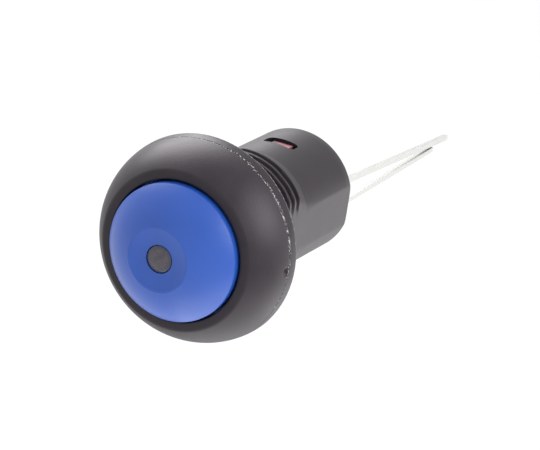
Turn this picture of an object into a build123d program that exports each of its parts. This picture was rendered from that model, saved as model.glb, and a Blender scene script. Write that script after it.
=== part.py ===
from build123d import *
import os
from math import cos, radians, sin, sqrt

# Illuminated push button switch for a panel. Millimetres.
#
# The axis lies along Y. The button faces -Y, the flat of the bushing faces +X, and the origin is
# the centre of the face that seats on the panel. A "station" is a distance along the axis, counted
# from that seat towards the user, so a point at station s has y = -s and what is behind the panel
# has a negative station.

os.makedirs("parts", exist_ok=True)

# ---------------------------------------------------------------- driving dimensions
# Bezel: a quarter-round dome that ends in a flat ring round the button
rim_r = 10.0
dome_arc_r = 7.22
dome_arc_centre_r = 2.78
dome_arc_centre_s = -0.05
seam_s = 1.3             # parting line between bezel and bushing flange
lip_front_s = 5.3
lip_back_s = 3.8
lip_hole_r = 6.8
lip_corner_r = 0.6
lip_chamfer = 0.12
cavity_r = 7.7
key_count = 3
key_angle = 90           # of the first key, from the flat's side
key_width = 0.8
key_tip_r = 7.2
key_bottom_s = 1.9

# Sealing boot, clamped between bezel and flange outside, between button and plunger inside
boot_wall = 0.4
bead_inner_r = 8.1
bead_outer_r = 8.85
bead_height = 0.85
boot_fold_r = 7.35
boot_ring_inner_r = 5.5
boot_ring_outer_r = 6.5
boot_web_width = 0.3
boot_gap = 0.05

# Bushing. Ring grooves of the thread's pitch and depth stand for its helix, which keeps the faces
# few and the crests a true cylinder.
thread_r = 6.8
thread_end_s = -8.2
thread_pitch = 1.0
thread_depth = 0.52
thread_groove_count = 8
thread_first_groove_s = -0.7
thread_mouth_width = 0.62
thread_root_width = 0.18
neck_r = 6.45
neck_end_s = -9.4
body_r = 6.15
body_end_s = -19.1
flat_x = 5.8
edge_chamfer = 0.25
upper_bore_r = 4.6
lower_bore_r = 5.0
bore_step_s = -7.0
head_recess_r = 6.5
skirt_recess_r = 7.6       # room for the button's flange when it is pressed
skirt_recess_s = 0.85
groove_inner_r = 7.5
groove_outer_r = 8.8
groove_depth = 0.4
window_width = 3.3
window_front_s = -13.2
window_rear_s = -14.8
window_corner_r = 0.35

# Button cap
cap_r = 6.6
cap_edge_r = 6.55
cap_edge_s = 5.87
cap_dome_r = 8.4
cap_wall = 1.15
cap_flange_r = 7.4
cap_flange_top_s = 3.75
cap_flange_bottom_s = 2.75
cap_bore_r = 5.45
dish_rim_r = 3.03
dish_floor_s = 8.12
boss_r = 2.6
boss_bottom_s = 2.95
cap_rib_count = 6
cap_rib_angle = 30
cap_rib_width = 0.6
cap_rib_bottom_s = 4.75
keyway_width = 1.2
keyway_floor_r = 7.05

# Lamp: a 3 mm light-emitting diode with a stepped nose
lamp_r = 1.5
lamp_flange_r = 1.9
lamp_flange_height = 0.95
lamp_nose_r = 1.28
lamp_step_s = 7.3
lamp_shoulder_s = 8.05
lamp_tip_s = 8.43
lamp_clearance = 0.05
nose_hole_r = 1.35
lead_size = 0.5
lead_pitch = 2.54
lead_x = 3.75            # the leads run down beside the plunger, towards the flat
lead_bend_r = 0.3
lead_jog_s = 2.62
lead_kink_s = -19.5
lead_kink_r = 12.0
anode_end_s = -46.4
anode_end_z = 0.0
cathode_end_s = -42.9
cathode_end_z = -0.5
post_z = 1.0             # the leads step in towards the axis inside the lamp
post_root_s = 3.1
post_top_s = 5.6
cup_r = 0.6
cup_wall = 0.1
cup_seat_r = 0.22
cup_base_s = 4.85
cup_floor_s = 5.35
cup_top_s = 5.85
chip_size = 0.3
chip_height = 0.15

# Plunger and its springs
head_r = 6.1
head_top_s = 2.35
head_bottom_s = 1.75
collar_r = 3.4
collar_top_s = 4.6
stem_r = 2.7
stem_core_r = 1.6
stem_end_s = -5.0
stem_floor_s = -3.5
contact_x = -1.8         # the switching parts sit away from the lamp leads
tail_size = 1.8
tail_corner_r = 0.3
tail_end_s = -8.4
post_size = 1.4
post_end_s = -12.6
wire_sides = 6
return_wire_r = 0.2
return_coil_r = 3.15
return_turns = 6
contact_wire_r = 0.125
contact_coil_r = 1.15
contact_turns = 4

# Contacts
bridge_top_s = -11.0
bridge_thickness = 0.4
bridge_width = 1.8
bridge_length = 5.4
bridge_hole = 1.5
tip_r = 0.5
tip_height = 0.25
tip_z = 2.0
contact_gap = 1.02
retainer_size = 2.1
retainer_thickness = 0.4
retainer_gap = 0.05

# Contact block, its cover, base and terminals
block_r = 4.95
cover_thickness = 0.6
block_cavity_r = 4.42
block_floor_s = -13.45
block_end_s = -18.6
well_width = 2.4
well_depth = 1.4
well_half_z = 1.25
terminal_width = 2.6
terminal_thickness = 0.5
fold_r = 0.4
terminal_z = 2.5
terminal_end_s = -24.6
pad_inner_z = 1.35
lug_hole_r = 0.55
lug_hole_s = -23.0
lug_corner_r = 0.6
fit_clearance = 0.04
lead_hole_r = 0.5
guide_clearance = 0.1
tongue_width = 2.6
tongue_slot = 0.3
tongue_root_s = -16.2
tongue_tip_s = -12.6
tongue_relief_z = 3.9
latch_width = 2.0
latch_r = 5.8
latch_front_s = -13.35
latch_rear_s = -14.7
latch_ramp = 0.3


# ---------------------------------------------------------------- working planes
def half_section(angle=0):
    """Radial plane at an angle from +X: local x is the radius, local y the station."""
    c, s = cos(radians(angle)), sin(radians(angle))
    return Plane(origin=(0, 0, 0), x_dir=(c, 0, s), z_dir=(s, 0, -c))


def station(s):
    """Plane across the axis at station s, facing the user: local x is X, local y is Z."""
    return Plane(origin=(0, -s, 0), x_dir=(1, 0, 0), z_dir=(0, -1, 0))


def dome_radius(s):
    """Radius of the bezel's quarter-round dome at station s."""
    return dome_arc_centre_r + sqrt(dome_arc_r**2 - (s - dome_arc_centre_s) ** 2)


def cap_station(r, inset=0.0):
    """Station of the button's domed front at radius r, or of the surface an inset below it."""
    centre = cap_edge_s - sqrt(cap_dome_r**2 - cap_edge_r**2)
    return centre + sqrt((cap_dome_r - inset) ** 2 - r**2)


# ---------------------------------------------------------------- bezel
boot_web_top = seam_s + boot_wall + boot_gap
bead_groove_top = seam_s + bead_height + boot_gap
with BuildPart() as bezel:
    with BuildSketch(half_section()):
        with BuildLine():
            middle_s = (seam_s + lip_front_s) / 2
            ThreePointArc(
                (dome_radius(seam_s), seam_s),
                (dome_radius(middle_s), middle_s),
                (dome_radius(lip_front_s), lip_front_s),
            )
            Polyline(
                (dome_radius(lip_front_s), lip_front_s),
                (lip_hole_r + lip_chamfer, lip_front_s),
                (lip_hole_r, lip_front_s - lip_chamfer),
                (lip_hole_r, lip_back_s),
                (cavity_r, lip_back_s),
                (cavity_r, boot_web_top),
                (bead_inner_r - boot_gap, boot_web_top),
                (bead_inner_r - boot_gap, bead_groove_top),
                (bead_outer_r + boot_gap, bead_groove_top),
                (bead_outer_r + boot_gap, seam_s),
                (dome_radius(seam_s), seam_s),
            )
        make_face()
    revolve(axis=Axis.Y)
    # keys inside the cavity, which stop the button turning
    key_outer_r = cavity_r + edge_chamfer
    with BuildSketch(station(key_bottom_s)):
        with PolarLocations((key_tip_r + key_outer_r) / 2, key_count, start_angle=key_angle):
            Rectangle(key_outer_r - key_tip_r, key_width)
    extrude(amount=lip_back_s - key_bottom_s)
    front_corner = bezel.edges().group_by(Axis.Y)[0].sort_by(SortBy.RADIUS)[-1]
    fillet(front_corner, radius=lip_corner_r)
bezel.part.label = "bezel"
export_step(bezel.part, "parts/bezel.step")

# ---------------------------------------------------------------- bushing
thread_grooves = [
    (r, thread_first_groove_s - turn * thread_pitch + side * width / 2)
    for turn in range(thread_groove_count)
    for r, side, width in (
        (thread_r, 1, thread_mouth_width),
        (thread_r - thread_depth, 1, thread_root_width),
        (thread_r - thread_depth, -1, thread_root_width),
        (thread_r, -1, thread_mouth_width),
    )
]
with BuildPart() as bushing:
    with BuildSketch(half_section()):
        with BuildLine():
            Polyline(
                (head_recess_r, 0),
                (head_recess_r, skirt_recess_s),
                (skirt_recess_r, skirt_recess_s),
                (skirt_recess_r, seam_s),
                (dome_radius(seam_s), seam_s),
            )
            # the flange's edge carries on the line of the dome
            band_middle_s = (seam_s + edge_chamfer) / 2
            ThreePointArc(
                (dome_radius(seam_s), seam_s),
                (dome_radius(band_middle_s), band_middle_s),
                (rim_r, edge_chamfer),
            )
            Polyline(
                (rim_r, edge_chamfer),
                (rim_r - edge_chamfer, 0),
                (groove_outer_r, 0),
                (groove_outer_r, groove_depth),
                (groove_inner_r, groove_depth),
                (groove_inner_r, 0),
                (thread_r, 0),
                *thread_grooves,
                (thread_r, thread_end_s),
                (neck_r, thread_end_s - edge_chamfer),
                (neck_r, neck_end_s),
                (body_r, neck_end_s - edge_chamfer),
                (body_r, body_end_s + edge_chamfer),
                (body_r - edge_chamfer, body_end_s),
                (lower_bore_r + edge_chamfer, body_end_s),
                (lower_bore_r, body_end_s + edge_chamfer),
                (lower_bore_r, bore_step_s),
                (upper_bore_r, bore_step_s),
                (upper_bore_r, 0),
                (head_recess_r, 0),
            )
        make_face()
    revolve(axis=Axis.Y)
    # flat along thread and body, which keys the switch in a D-shaped panel hole
    with BuildSketch(station(body_end_s)):
        with Locations((flat_x + thread_r / 2, 0)):
            Rectangle(thread_r, 2 * thread_r)
    extrude(amount=-body_end_s, mode=Mode.SUBTRACT)
    # windows for the block's latches, above and below
    with BuildSketch(Plane.XY):
        with Locations((0, -(window_front_s + window_rear_s) / 2)):
            RectangleRounded(window_width, window_front_s - window_rear_s, window_corner_r)
    extrude(amount=thread_r, both=True, mode=Mode.SUBTRACT)
bushing.part.label = "bushing"
export_step(bushing.part, "parts/bushing.step")

# ---------------------------------------------------------------- panel gasket
gasket_recess = 0.05
gasket_chamfer = 0.15
with BuildPart() as panel_gasket:
    with BuildSketch(half_section()):
        with Locations(((groove_inner_r + groove_outer_r) / 2, (groove_depth + gasket_recess) / 2)):
            Rectangle(groove_outer_r - groove_inner_r, groove_depth - gasket_recess)
    revolve(axis=Axis.Y)
    chamfer(panel_gasket.edges().group_by(Axis.Y)[-1], length=gasket_chamfer)
panel_gasket.part.label = "panel_gasket"
export_step(panel_gasket.part, "parts/panel_gasket.step")

# ---------------------------------------------------------------- sealing boot
with BuildPart() as sealing_boot:
    with BuildSketch(half_section()):
        with BuildLine():
            Polyline(
                (boot_ring_inner_r, cap_flange_bottom_s),
                (boot_ring_outer_r, cap_flange_bottom_s),
                (boot_fold_r, seam_s + boot_wall),
                (bead_inner_r, seam_s + boot_wall),
                (bead_inner_r, seam_s + bead_height),
                (bead_outer_r, seam_s + bead_height),
                (bead_outer_r, seam_s),
                (boot_fold_r - boot_web_width, seam_s),
                (boot_ring_outer_r - boot_web_width, head_top_s),
                (boot_ring_inner_r, head_top_s),
                close=True,
            )
        make_face()
    revolve(axis=Axis.Y)
sealing_boot.part.label = "sealing_boot"
export_step(sealing_boot.part, "parts/sealing_boot.step")

# ---------------------------------------------------------------- button cap
with BuildPart() as button_cap:
    with BuildSketch(half_section()):
        with BuildLine():
            dish_middle_r = (nose_hole_r + dish_rim_r) / 2
            dish_sag = (cap_station(dish_rim_r) - dish_floor_s) / 4
            ThreePointArc(
                (nose_hole_r, dish_floor_s),
                (dish_middle_r, dish_floor_s + dish_sag),
                (dish_rim_r, cap_station(dish_rim_r)),
            )
            dome_middle_r = (dish_rim_r + cap_edge_r) / 2
            ThreePointArc(
                (dish_rim_r, cap_station(dish_rim_r)),
                (dome_middle_r, cap_station(dome_middle_r)),
                (cap_edge_r, cap_edge_s),
            )
            Polyline(
                (cap_edge_r, cap_edge_s),
                (cap_r, cap_edge_s - lip_chamfer),
                (cap_r, cap_flange_top_s),
                (cap_flange_r, cap_flange_top_s),
                (cap_flange_r, cap_flange_bottom_s),
                (cap_bore_r, cap_flange_bottom_s),
                (cap_bore_r, cap_station(cap_bore_r, cap_wall)),
            )
            roof_middle_r = (cap_bore_r + boss_r) / 2
            ThreePointArc(
                (cap_bore_r, cap_station(cap_bore_r, cap_wall)),
                (roof_middle_r, cap_station(roof_middle_r, cap_wall)),
                (boss_r, cap_station(boss_r, cap_wall)),
            )
            Polyline(
                (boss_r, cap_station(boss_r, cap_wall)),
                (boss_r, boss_bottom_s),
                (lamp_flange_r + lamp_clearance, boss_bottom_s),
                (lamp_flange_r + lamp_clearance, boss_bottom_s + lamp_flange_height + lamp_clearance),
                (lamp_r + lamp_clearance, boss_bottom_s + lamp_flange_height + lamp_clearance),
                (lamp_r + lamp_clearance, lamp_step_s + lamp_clearance),
                (nose_hole_r, lamp_step_s + lamp_clearance),
                (nose_hole_r, dish_floor_s),
            )
        make_face()
    revolve(axis=Axis.Y)
    # stiffening ribs from the lamp boss to the skirt, rising into the roof
    rib_inset = 0.75 * cap_wall
    rib_inner_r = boss_r - lip_chamfer
    rib_outer_r = cap_bore_r + rib_inset / 3
    for step in range(cap_rib_count):
        with BuildSketch(half_section(cap_rib_angle + step * 360 / cap_rib_count)):
            with BuildLine():
                roof_middle_r = (rib_inner_r + rib_outer_r) / 2
                ThreePointArc(
                    (rib_inner_r, cap_station(rib_inner_r, rib_inset)),
                    (roof_middle_r, cap_station(roof_middle_r, rib_inset)),
                    (rib_outer_r, cap_station(rib_outer_r, rib_inset)),
                )
                Polyline(
                    (rib_outer_r, cap_station(rib_outer_r, rib_inset)),
                    (rib_outer_r, cap_rib_bottom_s),
                    (rib_inner_r, cap_rib_bottom_s),
                    (rib_inner_r, cap_station(rib_inner_r, rib_inset)),
                )
            make_face()
        extrude(amount=cap_rib_width / 2, both=True)
    # keyways in the flange, which run on the bezel's keys
    with BuildSketch(station(cap_flange_bottom_s)):
        with PolarLocations(keyway_floor_r + cap_wall / 2, key_count, start_angle=key_angle):
            Rectangle(cap_wall, keyway_width)
    extrude(amount=cap_flange_top_s - cap_flange_bottom_s, mode=Mode.SUBTRACT)
button_cap.part.label = "button_cap"
export_step(button_cap.part, "parts/button_cap.step")

# ---------------------------------------------------------------- lamp leads
# Each lead runs from inside the lamp down to the jog, across to one side, down past the plunger
# and out of the rear, where the two close on each other. The cathode carries the chip's cup.
lead_start_s = boss_bottom_s + lamp_flange_height / 2
lamp_leads = []
for word, side, end_s, end_z in (
    ("anode", 1, anode_end_s, anode_end_z),
    ("cathode", -1, cathode_end_s, cathode_end_z),
):
    lead_z = side * lead_pitch / 2
    with BuildPart() as lead:
        with BuildLine():
            FilletPolyline(
                (0, -lead_start_s, lead_z),
                (0, -lead_jog_s, lead_z),
                (lead_x, -lead_jog_s, lead_z),
                (lead_x, -lead_kink_s, lead_z),
                (lead_x, -end_s, end_z),
                radius=[lead_bend_r, lead_bend_r, lead_kink_r],
            )
        with BuildSketch(Plane(origin=(0, -lead_start_s, lead_z), x_dir=(1, 0, 0), z_dir=(0, 1, 0))):
            Rectangle(lead_size, lead_size)
        sweep()
        with BuildSketch(station(post_root_s)):
            with Locations((0, side * post_z)):
                Rectangle(lead_size, lead_size)
        extrude(amount=(post_top_s if side > 0 else cup_floor_s) - post_root_s)
        if side < 0:
            with BuildSketch(station(cup_base_s)):
                with Locations((0, -post_z / 2)):
                    Rectangle(lead_size, post_z)
            extrude(amount=cup_floor_s - cup_base_s)
            with BuildSketch(half_section()):
                with BuildLine():
                    Polyline(
                        (0, cup_base_s),
                        (cup_r, cup_base_s),
                        (cup_r, cup_top_s),
                        (cup_r - cup_wall, cup_top_s),
                        (cup_seat_r, cup_floor_s),
                        (0, cup_floor_s),
                        close=True,
                    )
                make_face()
            revolve(axis=Axis.Y)
    lead.part.label = "led_lead_" + word
    export_step(lead.part, "parts/led_lead_" + word + ".step")
    lamp_leads.append(lead.part)

# ---------------------------------------------------------------- lamp chip and clear body
with BuildPart() as led_chip:
    with BuildSketch(station(cup_floor_s)):
        Rectangle(chip_size, chip_size)
    extrude(amount=chip_height)
led_chip.part.label = "led_chip"
export_step(led_chip.part, "parts/led_chip.step")

lamp_base_s = boss_bottom_s
with BuildPart() as led_body:
    with BuildSketch(half_section()):
        with BuildLine():
            Polyline(
                (0, lamp_tip_s),
                (0, lamp_base_s),
                (lamp_flange_r, lamp_base_s),
                (lamp_flange_r, lamp_base_s + lamp_flange_height),
                (lamp_r, lamp_base_s + lamp_flange_height),
                (lamp_r, lamp_step_s),
                (lamp_nose_r, lamp_step_s),
                (lamp_nose_r, lamp_shoulder_s),
            )
            nose_rise = lamp_tip_s - lamp_shoulder_s
            nose_ball_r = (lamp_nose_r**2 + nose_rise**2) / (2 * nose_rise)
            nose_middle_r = lamp_nose_r / 2
            ThreePointArc(
                (lamp_nose_r, lamp_shoulder_s),
                (nose_middle_r, lamp_tip_s - nose_ball_r + sqrt(nose_ball_r**2 - nose_middle_r**2)),
                (0, lamp_tip_s),
            )
        make_face()
    revolve(axis=Axis.Y)
    # small flat on the flange that marks the cathode
    with BuildSketch(station(lamp_base_s)):
        with Locations((0, -(lamp_flange_r + lamp_nose_r + lead_size))):
            Rectangle(2 * lamp_flange_r, 2 * lamp_nose_r)
    extrude(amount=lamp_flange_height, mode=Mode.SUBTRACT)
    for inner in (*lamp_leads, led_chip.part):
        add(inner, mode=Mode.SUBTRACT)
led_body.part.label = "led_body"
export_step(led_body.part, "parts/led_body.step")

# ---------------------------------------------------------------- lamp retainer
# An E-shaped disc under the lamp, whose two slots lead the wires out to one side
lead_slot = lead_size + 3 * lamp_clearance
with BuildPart() as led_retainer:
    with BuildSketch(station(head_top_s)):
        Circle(boss_r - lamp_clearance)
        with Locations((boss_r / 2, lead_pitch / 2), (boss_r / 2, -lead_pitch / 2)):
            Rectangle(boss_r + lead_slot, lead_slot, mode=Mode.SUBTRACT)
    extrude(amount=boss_bottom_s - head_top_s)
led_retainer.part.label = "led_retainer"
export_step(led_retainer.part, "parts/led_retainer.step")

# ---------------------------------------------------------------- plunger
# Head under the button, collar round the lamp boss, cored stem, and an offset tail and post that
# work the contacts
with BuildPart() as plunger:
    with BuildSketch(half_section()):
        with BuildLine():
            Polyline(
                (0, stem_end_s),
                (stem_r - edge_chamfer, stem_end_s),
                (stem_r, stem_end_s + edge_chamfer),
                (stem_r, head_bottom_s),
                (head_r, head_bottom_s),
                (head_r, head_top_s),
                (collar_r, head_top_s),
                (collar_r, collar_top_s - edge_chamfer),
                (collar_r - edge_chamfer, collar_top_s),
                (boss_r + lamp_clearance, collar_top_s),
                (boss_r + lamp_clearance, head_top_s),
                (stem_core_r, head_top_s),
                (stem_core_r, stem_floor_s),
                (0, stem_floor_s),
                close=True,
            )
        make_face()
    revolve(axis=Axis.Y)
    # side openings for the leads through collar and head
    slot_inner_x = stem_core_r + edge_chamfer
    slot_outer_x = lead_x + lead_size / 2 + guide_clearance
    with BuildSketch(station(head_top_s)):
        for lead_z in (lead_pitch / 2, -lead_pitch / 2):
            with Locations(((slot_inner_x + slot_outer_x) / 2, lead_z)):
                Rectangle(slot_outer_x - slot_inner_x, lead_slot)
    extrude(amount=boss_bottom_s - head_top_s + guide_clearance, mode=Mode.SUBTRACT)
    hole_inner_x = lead_x - lead_size - guide_clearance
    with BuildSketch(station(head_bottom_s)):
        for lead_z in (lead_pitch / 2, -lead_pitch / 2):
            with Locations(((hole_inner_x + slot_outer_x) / 2, lead_z)):
                Rectangle(slot_outer_x - hole_inner_x, lead_slot)
    extrude(amount=head_top_s - head_bottom_s, mode=Mode.SUBTRACT)
    with BuildSketch(station(tail_end_s)):
        with Locations((contact_x, 0)):
            RectangleRounded(tail_size, tail_size, tail_corner_r)
    extrude(amount=stem_end_s - tail_end_s)
    with BuildSketch(station(post_end_s)):
        with Locations((contact_x, 0)):
            Rectangle(post_size, post_size)
    extrude(amount=tail_end_s - post_end_s)
plunger.part.label = "plunger"
export_step(plunger.part, "parts/plunger.step")

# ---------------------------------------------------------------- springs
# Helical wire springs; the wire is six-sided, which keeps the faces few
cover_top_s = bore_step_s
for label, wire_r, coil_r, turns, x, front_s, rear_s in (
    ("return_spring", return_wire_r, return_coil_r, return_turns, 0, head_bottom_s, cover_top_s),
    ("contact_spring", contact_wire_r, contact_coil_r, contact_turns, contact_x, tail_end_s, bridge_top_s),
):
    wire_gap = wire_r + boot_gap
    coil_length = front_s - rear_s - 2 * wire_gap
    with BuildPart() as spring:
        with BuildLine():
            coil = Helix(
                pitch=coil_length / turns,
                height=coil_length,
                radius=coil_r,
                center=(x, -front_s + wire_gap, 0),
                direction=(0, 1, 0),
            )
        with BuildSketch(Plane(origin=coil @ 0, z_dir=coil % 0)):
            RegularPolygon(wire_r, wire_sides)
        sweep(is_frenet=True)
    spring.part.label = label
    export_step(spring.part, "parts/" + label + ".step")

# ---------------------------------------------------------------- contact bridge and retainer
bridge_bottom_s = bridge_top_s - bridge_thickness
with BuildPart() as contact_bridge:
    with BuildSketch(station(bridge_bottom_s)):
        with Locations((contact_x, 0)):
            RectangleRounded(bridge_width, bridge_length, bridge_width / 4)
            Rectangle(bridge_hole, bridge_hole, mode=Mode.SUBTRACT)
    extrude(amount=bridge_thickness)
contact_bridge.part.label = "contact_bridge"
export_step(contact_bridge.part, "parts/contact_bridge.step")

with BuildPart() as bridge_retainer:
    with BuildSketch(station(bridge_bottom_s - retainer_gap - retainer_thickness)):
        with Locations((contact_x, 0)):
            RectangleRounded(retainer_size, retainer_size, tail_corner_r)
            Rectangle(post_size, post_size, mode=Mode.SUBTRACT)
    extrude(amount=retainer_thickness)
bridge_retainer.part.label = "bridge_retainer"
export_step(bridge_retainer.part, "parts/bridge_retainer.step")

# ---------------------------------------------------------------- contact tips
# Shallow domed rivets: moving ones under the bridge, fixed ones on the terminals' pads
moving_tip_s = bridge_bottom_s - tip_height
fixed_tip_s = moving_tip_s - contact_gap
pad_top_s = fixed_tip_s - tip_height
for word, side in (("upper", 1), ("lower", -1)):
    for kind, seat_s, direction in (("moving", bridge_bottom_s, -1), ("fixed", pad_top_s, 1)):
        with BuildPart() as tip:
            with BuildSketch(station(seat_s)):
                with Locations((contact_x, side * tip_z)):
                    Circle(tip_r)
            extrude(amount=direction * tip_height)
            chamfer(tip.edges().sort_by(Axis.Y)[0 if direction > 0 else -1], length=tip_height / 2)
        tip.part.label = kind + "_contact_" + word
        export_step(tip.part, "parts/" + kind + "_contact_" + word + ".step")

# ---------------------------------------------------------------- terminals
# Strip folded to an L: a pad on the block's floor and a blade out of the rear with a solder eye
for word, side in (("upper", 1), ("lower", -1)):
    blade_inner_z = side * (terminal_z - terminal_thickness / 2)
    blade_outer_z = side * (terminal_z + terminal_thickness / 2)
    fold_plane = Plane(origin=(contact_x, 0, 0), x_dir=(0, -1, 0), z_dir=(1, 0, 0))
    with BuildPart() as terminal:
        with BuildSketch(fold_plane):
            with BuildLine():
                Polyline(
                    (pad_top_s, -side * pad_inner_z),
                    (pad_top_s, -blade_outer_z),
                    (terminal_end_s, -blade_outer_z),
                    (terminal_end_s, -blade_inner_z),
                    (pad_top_s - terminal_thickness, -blade_inner_z),
                    (pad_top_s - terminal_thickness, -side * pad_inner_z),
                    close=True,
                )
            make_face()
        extrude(amount=terminal_width / 2, both=True)
        fold_corner = (contact_x, -pad_top_s, blade_outer_z)
        outer_fold = terminal.edges().filter_by(Axis.X).sort_by_distance(fold_corner)[0]
        fillet(outer_fold, radius=fold_r)
        end_edges = terminal.edges().filter_by(Axis.Z).group_by(Axis.Y)[-1]
        fillet(end_edges, radius=lug_corner_r)
        with BuildSketch(Plane.XY):
            with Locations((contact_x, -lug_hole_s)):
                SlotCenterToCenter(lug_hole_r, 2 * lug_hole_r)
        extrude(amount=side * thread_r, mode=Mode.SUBTRACT)
    terminal.part.label = "terminal_" + word
    export_step(terminal.part, "parts/terminal_" + word + ".step")


# ---------------------------------------------------------------- contact block, cover and base
def rear_passages():
    """Slots for the two blades and holes for the two leads, in a sketch across the axis."""
    for side in (1, -1):
        with Locations((contact_x, side * terminal_z)):
            Rectangle(terminal_width + fit_clearance, terminal_thickness + fit_clearance)
        with Locations((lead_x, side * lead_pitch / 2)):
            Circle(lead_hole_r)


block_top_s = cover_top_s - cover_thickness
with BuildPart() as contact_block:
    with BuildSketch(station(block_end_s)):
        Circle(block_r)
    extrude(amount=block_top_s - block_end_s)
    with BuildSketch(station(block_floor_s)):
        Circle(block_cavity_r)
    extrude(amount=block_top_s - block_floor_s, mode=Mode.SUBTRACT)
    with BuildSketch(station(block_floor_s - well_depth)):
        with Locations((contact_x, 0)):
            Rectangle(well_width, 2 * well_half_z)
    extrude(amount=well_depth, mode=Mode.SUBTRACT)
    with BuildSketch(station(block_end_s)):
        rear_passages()
    extrude(amount=block_floor_s - block_end_s, mode=Mode.SUBTRACT)
    # sprung tongues above and below, cut free on three sides, each with a ramped latch nose
    tongue_length = tongue_tip_s - tongue_root_s
    for side in (1, -1):
        with BuildSketch(station(tongue_root_s)):
            with Locations((0, side * (tongue_relief_z + block_cavity_r) / 2)):
                Rectangle(tongue_width + 2 * tongue_slot, block_cavity_r - tongue_relief_z)
            for edge in (1, -1):
                with Locations((edge * (tongue_width + tongue_slot) / 2, side * block_cavity_r)):
                    Rectangle(tongue_slot, 2 * (block_cavity_r - tongue_relief_z))
        extrude(amount=tongue_length, mode=Mode.SUBTRACT)
        with BuildSketch(station(tongue_tip_s)):
            with Locations((0, side * block_cavity_r)):
                Rectangle(tongue_width + 2 * tongue_slot, 2 * (block_cavity_r - tongue_relief_z))
        extrude(amount=tongue_slot, mode=Mode.SUBTRACT)
        with BuildSketch(Plane(origin=(0, 0, 0), x_dir=(0, -1, 0), z_dir=(1, 0, 0))):
            with BuildLine():
                nose_root_z = -side * (block_cavity_r + block_r) / 2
                Polyline(
                    (latch_rear_s, nose_root_z),
                    (latch_rear_s, -side * latch_r),
                    (latch_front_s - latch_ramp, -side * latch_r),
                    (latch_front_s, -side * (latch_r - latch_ramp)),
                    (latch_front_s, nose_root_z),
                    close=True,
                )
            make_face()
        extrude(amount=latch_width / 2, both=True)
contact_block.part.label = "contact_block"
export_step(contact_block.part, "parts/contact_block.step")

with BuildPart() as block_cover:
    with BuildSketch(station(block_top_s)):
        Circle(block_r)
        with Locations((contact_x, 0)):
            RectangleRounded(
                tail_size + 2 * guide_clearance,
                tail_size + 2 * guide_clearance,
                tail_corner_r,
                mode=Mode.SUBTRACT,
            )
        for side in (1, -1):
            with Locations((lead_x, side * lead_pitch / 2)):
                Circle(lead_hole_r, mode=Mode.SUBTRACT)
    extrude(amount=cover_thickness)
block_cover.part.label = "block_cover"
export_step(block_cover.part, "parts/block_cover.step")

with BuildPart() as terminal_base:
    with BuildSketch(station(body_end_s)):
        Circle(block_r)
    extrude(amount=block_end_s - body_end_s)
    with BuildSketch(station(body_end_s)):
        rear_passages()
    extrude(amount=block_end_s - body_end_s, mode=Mode.SUBTRACT)
terminal_base.part.label = "terminal_base"
export_step(terminal_base.part, "parts/terminal_base.step")
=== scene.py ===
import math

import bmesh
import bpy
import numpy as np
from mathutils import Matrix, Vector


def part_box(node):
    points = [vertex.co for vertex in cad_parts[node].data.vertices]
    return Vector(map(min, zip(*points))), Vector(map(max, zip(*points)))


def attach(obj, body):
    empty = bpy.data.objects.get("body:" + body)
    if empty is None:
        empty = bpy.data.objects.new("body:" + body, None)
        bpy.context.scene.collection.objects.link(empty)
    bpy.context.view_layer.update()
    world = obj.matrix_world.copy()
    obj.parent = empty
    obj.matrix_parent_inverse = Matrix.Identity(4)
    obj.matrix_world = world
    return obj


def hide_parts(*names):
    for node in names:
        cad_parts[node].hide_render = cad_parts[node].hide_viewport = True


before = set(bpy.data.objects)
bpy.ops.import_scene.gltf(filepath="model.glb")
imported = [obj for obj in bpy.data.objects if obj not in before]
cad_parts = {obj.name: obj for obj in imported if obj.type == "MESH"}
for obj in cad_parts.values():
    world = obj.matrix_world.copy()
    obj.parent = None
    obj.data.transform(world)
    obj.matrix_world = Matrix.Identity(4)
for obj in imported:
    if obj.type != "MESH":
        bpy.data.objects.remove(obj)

# Illuminated push button switch: finished surfaces, materials, camera and light.
#
# Shapes are worked out in millimetres in the frame's axes: the button faces -Y, the flat of the
# bushing faces +X, and +Z is up. A "station" is a distance ahead of the panel seat, so that
# y = -station. An angle phi is measured round the axis from +X towards +Z.

MM = 0.001
TAU = 2 * math.pi
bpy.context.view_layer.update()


# ---------------------------------------------------------------- sizes read from the frame
def station_span(node):
    """Lowest and highest station of a CAD node, in millimetres."""
    low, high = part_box(node)
    return -high[1] / MM, -low[1] / MM


SEAM_S, LIP_S = station_span("bezel")
BODY_END_S = station_span("bushing")[0]
RIM_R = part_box("bushing")[1][2] / MM
CAP_BOTTOM_S = station_span("button_cap")[0]
LAMP_BASE_S, LAMP_TIP_S = station_span("led_body")

# ---------------------------------------------------------------- named sizes, millimetres
DOME_ARC_R, DOME_ARC_CENTRE_R, DOME_ARC_CENTRE_S = 7.22, 2.78, -0.05
LIP_R, LIP_BACK_S, LIP_CORNER_R = 6.8, 3.8, 0.6
SEAM_CHAMFER, RIM_CORNER_S, RIM_CORNER_R = 0.04, 0.4, 0.28
# painted highlight: the burr's white glints are densest at this angle round the axis, between flat
# and top
FLANGE_EDGE_S, BURR_GLINT_ANGLE = 0.2, math.radians(45)
BURR_BIT, BURR_REACH = 0.2, 0.6
CAVITY_R, KEY_TIP_R, KEY_BOTTOM_S, KEY_HALF_ANGLE = 7.7, 7.2, 1.9, math.radians(3.1)
BOOT_TOP_S, BEAD_TOP_S, BEAD_INNER_R, BEAD_OUTER_R = SEAM_S + 0.45, SEAM_S + 0.9, 8.05, 8.9
SCAR_S, SCAR_HALF_LENGTH, SCAR_HALF_ANGLE, SCAR_DEPTH = 1.68, 0.34, 0.055, 0.3
SCAR_COLUMN_ANGLE = math.radians(0.4)
THREAD_R, THREAD_END_S, THREAD_PITCH, THREAD_DEPTH = 6.8, -8.2, 1.0, 0.5
THREAD_HALF_MOUTH, THREAD_HALF_FLOOR = 0.33, 0.11
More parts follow.
